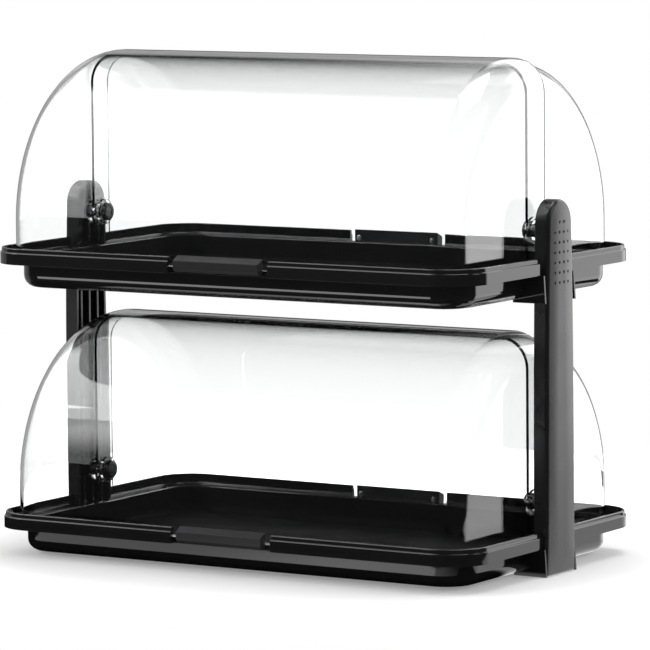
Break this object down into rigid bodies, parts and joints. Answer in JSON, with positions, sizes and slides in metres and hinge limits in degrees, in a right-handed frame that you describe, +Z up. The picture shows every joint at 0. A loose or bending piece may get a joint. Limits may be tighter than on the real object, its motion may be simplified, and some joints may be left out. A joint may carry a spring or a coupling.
{
  "type": "countertop bread display bin",
  "caption": "Two-tier countertop bread display with glossy black trays, clear roll-top lids and satin side uprights.",
  "frame": {"origin": "centre of the counter area under the bin, at the height that its feet stand on", "axes": "+Z up, +X along the trays to the right, -Y towards the front lids"},
  "size_m": [0.573, 0.3528, 0.5024],
  "materials": {
    "tray_black": "glossy moulded",
    "upright_black": "satin moulded",
    "handle_grey": "matte moulded",
    "clear_acrylic": "clear acrylic",
    "pivot_black": "moulded",
    "steel": "zinc plated",
    "rubber": "moulded"
  },
  "bodies": {
    "root": {"lower_tray": "tray_black", "lower_left_pivot_pin": "steel", "lower_left_pivot_washer": "pivot_black", "lower_left_pivot_knob": "pivot_black", "lower_left_tie_screw": "steel", "lower_right_pivot_pin": "steel", "lower_right_pivot_washer": "pivot_black", "lower_right_pivot_knob": "pivot_black", "lower_right_tie_screw": "steel", "upper_tray": "tray_black", "upper_left_pivot_pin": "steel", "upper_left_pivot_washer": "pivot_black", "upper_left_pivot_knob": "pivot_black", "upper_left_tie_screw": "steel", "upper_right_pivot_pin": "steel", "upper_right_pivot_washer": "pivot_black", "upper_right_pivot_knob": "pivot_black", "upper_right_tie_screw": "steel", "left_upright": "upright_black", "right_upright": "upright_black", "front_left_foot": "rubber", "front_right_foot": "rubber", "rear_left_foot": "rubber", "rear_right_foot": "rubber"},
    "lower_front_lid_body": {"lower_front_lid": "clear_acrylic", "lower_front_handle": "handle_grey", "lower_front_left_handle_screw": "steel", "lower_front_right_handle_screw": "steel"},
    "lower_rear_lid_body": {"lower_rear_lid": "clear_acrylic", "lower_rear_handle": "handle_grey", "lower_rear_left_handle_screw": "steel", "lower_rear_right_handle_screw": "steel"},
    "upper_front_lid_body": {"upper_front_lid": "clear_acrylic", "upper_front_handle": "handle_grey", "upper_front_left_handle_screw": "steel", "upper_front_right_handle_screw": "steel"},
    "upper_rear_lid_body": {"upper_rear_lid": "clear_acrylic", "upper_rear_handle": "handle_grey", "upper_rear_left_handle_screw": "steel", "upper_rear_right_handle_screw": "steel"}
  },
  "joints": [
    {"name": "lower_front_lid_hinge", "type": "hinge", "parent": "root", "child": "lower_front_lid_body", "pos_m": [0, 0, 0.0684], "axis": [-1, 0, 0], "range_deg": [0, 42]},
    {"name": "lower_rear_lid_hinge", "type": "hinge", "parent": "root", "child": "lower_rear_lid_body", "pos_m": [0, 0, 0.0684], "axis": [1, 0, 0], "range_deg": [0, 42]},
    {"name": "upper_front_lid_hinge", "type": "hinge", "parent": "root", "child": "upper_front_lid_body", "pos_m": [0, 0, 0.3354], "axis": [-1, 0, 0], "range_deg": [0, 42]},
    {"name": "upper_rear_lid_hinge", "type": "hinge", "parent": "root", "child": "upper_rear_lid_body", "pos_m": [0, 0, 0.3354], "axis": [1, 0, 0], "range_deg": [0, 42]}
  ]
}
